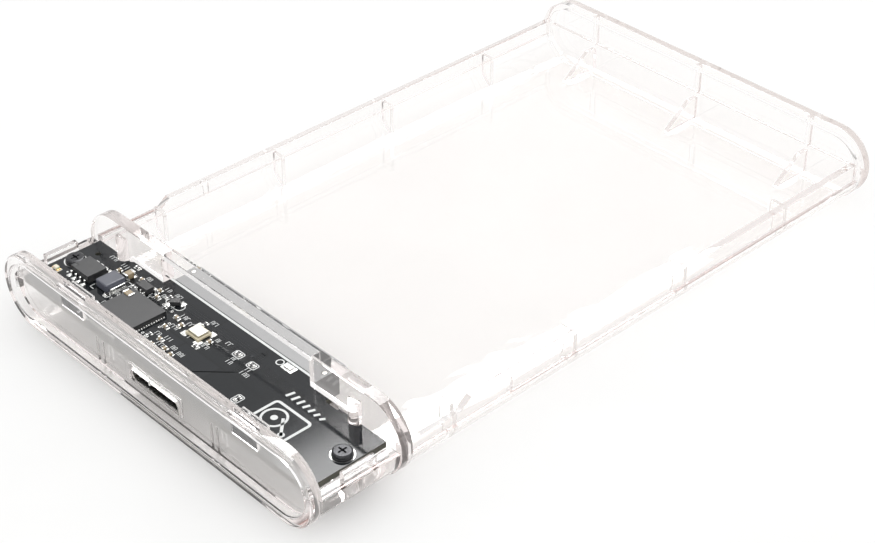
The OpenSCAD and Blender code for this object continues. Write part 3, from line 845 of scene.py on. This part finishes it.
@dataclass
class CircuitBoard(SubAssembly):
    """The board with its solder joints, tracks and plated vias, whose bores are black discs of painted shade.

    Attributes:
        low: the board's lowest corner.
        high: its highest corner.
        chip: the middle of its largest chip.
        draw: draws the tracks' lengths.
        edge_round: rounding of the board's edges.
        pad_height: height of the tinned pads.
        pad_margin: how far a pad reaches past its terminal.
        track_width: width of a signal track.
        track_height: how far a track lifts the lacquer.
        via_radius: radius of a plated hole's ring.
        seed: seed of the tracks' lengths.
    """

    edge_round: float = 0.06 * MM
    pad_height: float = 0.03 * MM
    pad_margin: float = 0.18 * MM
    track_width: float = 0.16 * MM
    track_height: float = 0.018 * MM
    via_radius: float = 0.26 * MM
    seed: int = 7
    low: Vector = field(init=False)
    high: Vector = field(init=False)
    chip: Vector = field(init=False)
    draw: random.Random = field(init=False)

    def __post_init__(self) -> None:
        """Notes the board's box and the middle of its chip."""
        self.low, self.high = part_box("circuit_board")
        self.chip = middle(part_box("bridge_chip"))
        self.draw = random.Random(self.seed)

    def build(self) -> None:
        """Makes the board and everything that is plated or soldered on it."""
        board = Blank.copy_of("circuit_board")
        board.round(board.sharp_edges(60), self.edge_round, 2)
        self.keep(board, "bridge_board", Slot.SOLDER_MASK, "circuit_board")
        self.keep(self.joints(), "solder_joints", Slot.SOLDER)
        rings, hole_shade_discs, tracks = Blank(), Blank(), Blank()
        self.fan_out(rings, hole_shade_discs, tracks)
        self.pairs(tracks)
        self.screw_lands(rings)
        self.keep(tracks, "lacquered_tracks", Slot.SOLDER_MASK)
        self.keep(rings, "plated_rings", Slot.SOLDER)
        # the bores are flat black discs of painted shade
        self.keep(hole_shade_discs, "painted_hole_shade_discs", Extra.HOLE_SHADE)

    def joints(self) -> Blank:
        """Solder fillets under the terminals of the small parts."""
        blank = Blank()
        straight = ("bulk_capacitor_ends", "chip_capacitor_ends", "chip_resistor_ends", "inductor_terminals")
        for low, high in islands(*straight, "diode_leads", "led_terminals"):
            self.fillet(blank, low, high, 0.35)
        for chip, leads in (("flash_chip", "flash_chip_leads"), ("regulator_chip", "regulator_leads")):
            centre = middle(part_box(chip))
            for low, high in islands(leads):
                foot_low, foot_high = low.copy(), high.copy()
                if middle((low, high)).y > centre.y:
                    foot_low.y += (high.y - low.y) * 0.5
                else:
                    foot_high.y -= (high.y - low.y) * 0.5
                self.fillet(blank, foot_low, foot_high, 0.15)
        for low, high in islands("bridge_chip_leads"):
            self.fillet(blank, low, high, 0.3, self.pad_margin * 0.3)
        for corner in self.crystal_corners():
            half = Vector((0.45, 0.4, 0)) * MM
            self.fillet(blank, corner - half, corner + half + Vector((0, 0, 0.2)) * MM, 0.5)
        return blank

    def crystal_corners(self) -> list[Vector]:
        """The four corners of the crystal, at the board's surface."""
        low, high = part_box("crystal_base")
        return [Vector((x, y, self.high.z)) for x in (low.x, high.x) for y in (low.y, high.y)]

    def fillet(
        self, blank: Blank, low: Vector, high: Vector, share: float, margin: float | None = None
    ) -> None:
        """Adds a pad and a sloped fillet round a terminal.

        Args:
            blank: the mesh it is added to.
            low: the terminal's lowest corner.
            high: its highest corner.
            share: the fillet's height as a share of the terminal's.
            margin: the pad's reach past the terminal, or the usual one.
        """
        reach = self.pad_margin if margin is None else margin
        out = Vector((reach, reach, 0))
        base = Vector((low.x, low.y, self.high.z - 0.01 * MM))
        top = Vector((high.x, high.y, self.high.z + self.pad_height))
        blank.block(base - out, top + out)
        rise = max(share * (high.z - low.z), 2 * self.pad_height)
        peak = Vector((high.x, high.y, self.high.z + rise))
        slope = blank.block(base - out * 0.8, peak + out * 0.8)
        centre = (base + peak) / 2
        upper = [v for v in slope if v.co.z > centre.z]
        size = peak - base + out * 1.6
        shrink = Vector(((size.x - out.x * 1.2) / size.x, (size.y - out.y * 1.2) / size.y, 1))
        bmesh.ops.scale(blank.mesh, vec=shrink, verts=upper, space=Matrix.Translation(-centre))

    def fan_out(self, rings: Blank, hole_shade_discs: Blank, tracks: Blank) -> None:
        """Leads short tracks away from the bridge chip, about two in five of them to a plated hole."""
        for low, high in islands("bridge_chip_leads"):
            at = middle((low, high))
            away = at - self.chip
            if abs(away.x) > abs(away.y):
                step = Vector((math.copysign(1, away.x), 0, 0))
                slant = Vector((0, math.copysign(1, away.y), 0))
            else:
                step = Vector((0, math.copysign(1, away.y), 0))
                slant = Vector((math.copysign(1, away.x), 0, 0))
            start = Vector((at.x, at.y, self.high.z))
            bend = start + step * self.draw.uniform(0.5, 1.5) * MM
            end = bend + (step + slant).normalized() * self.draw.uniform(0.4, 2.2) * MM
            if not self.on_board(end, 0.6 * MM):
                continue
            tracks.strip(start, bend, self.track_width, self.track_height)
            tracks.strip(bend, end, self.track_width, self.track_height)
            if self.draw.random() < 0.4:
                self.via(rings, hole_shade_discs, end)

    def pairs(self, tracks: Blank) -> None:
        """Runs the paired signal tracks from the USB socket by the chip to the SATA socket."""
        usb = middle(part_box("usb_shell"))
        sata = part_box("sata_data_contacts")
        for lane in range(4):
            shift = (lane - 1.5) * 0.34 * MM
            start = Vector((usb.x + 3.2 * MM + shift, self.low.y + 0.4 * MM, self.high.z))
            turn = start + Vector((0, 3.4 * MM + shift, 0))
            slant = turn + Vector((1, 1, 0)) * 4.6 * MM
            end = Vector((slant.x, self.high.y - 1.4 * MM - shift, self.high.z))
            for a, b in ((start, turn), (turn, slant), (slant, end)):
                tracks.strip(a, b, self.track_width, self.track_height)
        for lane in range(6):
            y = self.high.y - (2.2 + 0.5 * lane) * MM
            start = Vector((self.chip.x + (3 + lane) * MM, y, self.high.z))
            end = Vector((sata[0].x - lane * 0.9 * MM, y, self.high.z))
            tracks.strip(start, end, self.track_width * (2 if lane == 0 else 1), self.track_height)

    def screw_lands(self, rings: Blank) -> None:
        """Rings of bare metal round the screw heads."""
        for low, high in islands("board_screws"):
            centre = middle((low, high))
            at = Vector((centre.x, centre.y, self.high.z))
            rings.ring(at, (high.x - low.x) / 2 + 0.3 * MM, 0.22 * MM, self.pad_height)

    def via(self, rings: Blank, hole_shade_discs: Blank, at: Vector) -> None:
        """A plated hole: a tinned ring, with a near-black disc in its middle as painted shade of the bore."""
        rings.ring(at, self.via_radius, self.via_radius * 0.45, self.track_height * 1.4, 14)
        # painted shade: a flat black disc stands for the dark inside the bore
        hole_shade_discs.disc(at - Vector((0, 0, 0.01 * MM)), self.via_radius * 0.56, self.track_height, 12)

    def on_board(self, at: Vector, margin: float) -> bool:
        """True if a point is on the board's upper face and not near its edge."""
        rear = self.high.y - 2.6 * MM
        return self.low.x + margin < at.x < self.high.x - margin and self.low.y + margin < at.y < rear


@dataclass
class PrintedMarksAndHighlight(SubAssembly):
    """White printing on the board: outlines, small marks and a picture of a drive; also a white strip painted
    along its rear edge as a highlight.

    Attributes:
        low: the board's lowest corner.
        high: its highest corner.
        draw: draws the small marks' shapes.
        line: width of a printed line.
        ink: height of the ink.
        mark: height of a small mark.
        seed: seed of the small marks.
    """

    line: float = 0.16 * MM
    ink: float = 0.02 * MM
    mark: float = 0.75 * MM
    seed: int = 21
    low: Vector = field(init=False)
    high: Vector = field(init=False)
    draw: random.Random = field(init=False)

    def __post_init__(self) -> None:
        """Notes the board's box."""
        self.low, self.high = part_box("circuit_board")
        self.draw = random.Random(self.seed)

    def build(self) -> None:
        """Prints the marks and paints the rear highlight, in one pass."""
        blank = Blank()
        self.painted_rear_highlight(blank)
        self.outlines(blank)
        self.small_marks(blank)
        self.drive_picture(blank)
        self.keep(blank, "printed_marks_and_painted_highlight", Extra.WHITE_INK_AND_HIGHLIGHT)

    def at(self, x: float, back: float) -> Vector:
        """A point on the board, in millimetres from its middle and from its front edge."""
        return Vector((x * MM, self.low.y + back * MM, self.high.z))

    def painted_rear_highlight(self, blank: Blank) -> None:
        """A broad white strip in front of the SATA socket, along the board's rear edge: a painted highlight
        of the bright edge line there.
        """
        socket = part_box("sata_housing")
        y = self.high.y - 0.3 * MM
        start = Vector((socket[0].x - 3.9 * MM, y, self.high.z))
        end = Vector((socket[1].x + 3.2 * MM, y, self.high.z))
        # painted highlight: a white strip stands for the bright line along the board's rear edge
        blank.strip(start, end, 0.46 * MM, self.ink)

    def outlines(self, blank: Blank) -> None:
        """Outlines round parts: boxes, an oval, brackets and rings."""
        for low, high in pairs_of(islands("chip_resistor_ends")):
            if low.x > 0:
                centre = Vector(((low.x + high.x) / 2, (low.y + high.y) / 2, self.high.z))
                size = (high.x - low.x + 1.1 * MM, high.y - low.y + 1.1 * MM)
                blank.frame_round(centre, size, 0.45 * MM, self.line, self.ink)
        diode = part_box("protection_diode")
        centre = Vector((middle(diode).x, middle(diode).y, self.high.z))
        blank.frame_round(centre, (4.2 * MM, 1.9 * MM), 0.9 * MM, self.line, self.ink)
        for node, gap in (("crystal_base", 0.55), ("power_inductor", 0.7), ("regulator_chip", 0.5)):
            self.corners(blank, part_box(node), gap * MM)
        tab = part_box("ground_tab")
        blank.ring(Vector((tab[0].x - 0.9 * MM, middle(tab).y, self.high.z)), 0.75 * MM, 0.2 * MM, self.ink)
        for low, high in (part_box("flash_chip"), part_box("bridge_chip")):
            blank.disc(Vector((low.x - 0.5 * MM, low.y - 0.5 * MM, self.high.z)), 0.2 * MM, self.ink, 16)

    def corners(self, blank: Blank, box: Box, gap: float) -> None:
        """Corner brackets round a part."""
        low, high = box
        for x, inward_x in ((low.x - gap, 1), (high.x + gap, -1)):
            for y, inward_y in ((low.y - gap, 1), (high.y + gap, -1)):
                corner = Vector((x, y, self.high.z))
                blank.strip(corner, corner + Vector((inward_x * 0.9 * MM, 0, 0)), self.line, self.ink)
                blank.strip(corner, corner + Vector((0, inward_y * 0.9 * MM, 0)), self.line, self.ink)

    def small_marks(self, blank: Blank) -> None:
        """Groups of plain strokes beside the small parts."""
        groups = [(low.x, low.y, high.y) for low, high in pairs_of(islands("chip_resistor_ends"))]
        groups += [(low.x, low.y, high.y) for low, high in pairs_of(islands("chip_capacitor_ends"))]
        for x, low_y, high_y in groups:
            toward = low_y - 1.3 * MM if x > 0 else high_y + 0.5 * MM
            rows = 2 if x > 0 else 1
            for row in range(rows):
                self.stroke_group(blank, Vector((x + 0.5 * MM, toward - row * 1.1 * MM, self.high.z)))
        for x, back in ((-31.6, 12.9), (-28.2, 12.9), (-31.4, 3.1), (-21, 2.2), (-4.9, 8.7), (1.2, 12.2)):
            self.stroke_group(blank, self.at(x, back))

    def stroke_group(self, blank: Blank, start: Vector) -> None:
        """Two or three plain shapes in a row: bars, angles and squares."""
        for place in range(self.draw.choice((2, 3))):
            at = start + Vector((place * self.mark * 0.85, 0, 0))
            shape = self.draw.randrange(3)
            tall = Vector((0, self.mark, 0))
            wide = Vector((self.mark * 0.5, 0, 0))
            blank.strip(at, at + tall, self.line * 0.7, self.ink)
            if shape:
                blank.strip(at + tall, at + tall + wide, self.line * 0.7, self.ink)
            if shape == 2:
                blank.strip(at + wide, at + wide + tall, self.line * 0.7, self.ink)

    def drive_picture(self, blank: Blank) -> None:
        """A plain picture of a drive: case, platter, hub and arm, with a row of blocks under it."""
        centre = self.at(22.2, 6.1)
        blank.frame_round(centre, (8.6 * MM, 6.6 * MM), 0.9 * MM, 0.5 * MM, self.ink)
        platter = centre + Vector((-1.2, 0, 0)) * MM
        blank.ring(platter, 2.3 * MM, 0.42 * MM, self.ink, 40)
        blank.disc(platter, 0.6 * MM, self.ink, 24)
        pivot = centre + Vector((2.7, -1.9, 0)) * MM
        blank.disc(pivot, 0.62 * MM, self.ink, 24)
        blank.strip(pivot, centre + Vector((0.1, 0.7, 0)) * MM, 0.5 * MM, self.ink)
        for place in range(7):
            start = centre + Vector((-4 + place * 1.34, 4.9, 0)) * MM
            blank.strip(start, start + Vector((0.25, 1.1 - 0.12 * place, 0)) * MM, 0.5 * MM, self.ink)


def pairs_of(boxes: Iterable[Box]) -> Iterator[Box]:
    """Joins the boxes of each part's two ends into one box.

    Args:
        boxes: boxes of the ends, in any order.

    Yields:
        One box for each part.
    """
    left = sorted(boxes, key=lambda box: tuple(middle(box)))
    while left:
        first = left.pop(0)
        other = min(left, key=lambda box: (middle(box) - middle(first)).length)
        left.remove(other)
        yield Vector(map(min, first[0], other[0])), Vector(map(max, first[1], other[1]))


# ---------- studio ----------


@dataclass
class Studio:
    """Floor, sky, lamps and camera.

    Attributes:
        azimuth: degrees round the case, from the front towards the right.
        elevation: degrees above the horizon.
        distance: from the target to the camera.
        target: point in the middle of the picture, from the middle of the case's underside.
        lens: focal length in millimetres on a 36 mm wide sensor.
        shift: shift of the picture, as shares of its width.
        floor_half: half the floor's size.
        floor_gap: air under the case.
        sky_front: brightness of the sky behind the camera.
        sky_back: brightness of the sky behind the case.
        horizon: share of the sky's light that is left at the horizon.
        softbox: size of the lamp behind the case.
        softbox_distance: its distance from the board.
        softbox_radiance: its brightness.
    """

    azimuth: float = 46.603
    elevation: float = 35.252
    distance: float = 0.3411
    target: tuple[float, float, float] = (2.4 * MM, -4.8 * MM, -0.2 * MM)
    lens: float = 79.52
    shift: tuple[float, float] = (-0.00756, -0.0007)
    floor_half: float = 2.0
    floor_gap: float = 0.05 * MM
    sky_front: float = 1.3
    sky_back: float = 1.04
    horizon: float = 0.4
    softbox: tuple[float, float] = (0.42, 0.3)
    softbox_distance: float = 0.6
    softbox_radiance: float = 9

    def build(self) -> None:
        """Sets up the studio."""
        self.lay_floor()
        self.light_sky()
        self.place_camera()
        self.hang_softbox()
        bpy.context.scene.view_settings.view_transform = "Standard"

    def back(self) -> Vector:
        """The direction from the target to the camera."""
        turn, rise = math.radians(self.azimuth), math.radians(self.elevation)
        return Vector((math.sin(turn) * math.cos(rise), -math.cos(turn) * math.cos(rise), math.sin(rise)))

    def lay_floor(self) -> None:
        """A wide pale floor just under the case."""
        blank = Blank()
        low = CAD_BOX[0].z - self.floor_gap
        matrix = Matrix.Translation((0, 0, low))
        bmesh.ops.create_grid(blank.mesh, x_segments=8, y_segments=8, size=self.floor_half, matrix=matrix)
        floor = blank.leave("studio_floor")
        floor.data.materials.append(PAINT.take(Extra.FLOOR))

    def light_sky(self) -> None:
        """A white sky that changes from front to rear and darkens towards the horizon."""
        world = bpy.data.worlds.new("studio_sky")
        bpy.context.scene.world = world
        bench = Bench(world)
        at = bench.output("ShaderNodeTexCoord", name="Generated")
        side = self.back()
        flat = Vector((side.x, side.y, 0)).normalized()
        toward = bench.node("ShaderNodeVectorMath", {"operation": "DOT_PRODUCT"}, {0: at, 1: tuple(flat)})
        share = Field(bench, toward.outputs["Value"]).ease(-0.55, 0.6)
        height = bench.output("ShaderNodeSeparateXYZ", {}, {0: at}, "Z")
        strength = height.ease(0.03, 0.32) * (1 - self.horizon) + self.horizon
        rear, front = (self.sky_back,) * 3, (self.sky_front,) * 3
        light = {"Color": bench.mix(share, rear, front), "Strength": strength}
        sky = bench.output("ShaderNodeBackground", {}, light)
        bench.node("ShaderNodeOutputWorld", {}, {"Surface": sky})

    def place_camera(self) -> None:
        """The camera, aimed at the target."""
        data = bpy.data.cameras.new("studio_camera")
        data.sensor_width = 36
        data.lens = self.lens
        data.shift_x, data.shift_y = self.shift
        data.clip_start, data.clip_end = 0.01, 20
        camera = bpy.data.objects.new("studio_camera", data)
        camera.rotation_mode = "QUATERNION"
        camera.rotation_quaternion = (-self.back()).to_track_quat("-Z", "Y")
        camera.location = self.camera_at()
        bpy.context.scene.collection.objects.link(camera)
        bpy.context.scene.camera = camera

    def camera_at(self) -> Vector:
        """The camera's place."""
        return Vector(self.target) + self.back() * self.distance

    def mirrored(self, point: Vector) -> Vector:
        """Where a lamp must hang for the camera to see its mirror image at a point of the board."""
        camera = self.camera_at()
        eye = Vector((camera.x, camera.y, 2 * point.z - camera.z))
        return point + (point - eye).normalized() * self.softbox_distance

    def hang_softbox(self) -> None:
        """The lamp behind the case, seen in reflections only; its mirror image ends by the right screw."""
        low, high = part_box("circuit_board")
        edge_x = high.x - 6.6 * MM
        first = self.mirrored(Vector((edge_x, low.y, high.z)))
        second = self.mirrored(Vector((edge_x, high.y, high.z)))
        beyond = self.mirrored(Vector((high.x, high.y, high.z)))
        along = (second - first).normalized()
        out = ((beyond - second) - along * (beyond - second).dot(along)).normalized()
        facing = along.cross(out)
        if facing.dot(first) < 0:
            facing = -facing
        centre = (first + second) / 2 + out * self.softbox[1] / 2
        data = bpy.data.lights.new("softbox", "AREA")
        data.shape = "RECTANGLE"
        data.size, data.size_y = self.softbox
        data.energy = self.softbox_radiance * math.pi * self.softbox[0] * self.softbox[1]
        across = out.cross(facing) * -1
        turned = Matrix((across, facing.cross(across), facing)).transposed().to_4x4()
        lamp = bpy.data.objects.new("softbox", data)
        lamp.matrix_world = Matrix.Translation(centre) @ turned
        lamp.visible_diffuse = False
        bpy.context.scene.collection.objects.link(lamp)


def main() -> None:
    """Builds the studio and the sub-assemblies in order."""
    logging.basicConfig(level=logging.INFO, format="%(name)s: %(message)s")
    Studio().build()
    makers: tuple[Callable[[], SubAssembly], ...] = (
        Tray, CircuitBoard, BoardScrews, UsbSocket, SataSocket, BoardParts, PrintedMarksAndHighlight
    )
    for maker in makers:
        assembly = maker()
        assembly.build()
        assembly.dress()
        LOG.info("%s done", type(assembly).__name__)


if __name__ == "__main__":
    main()
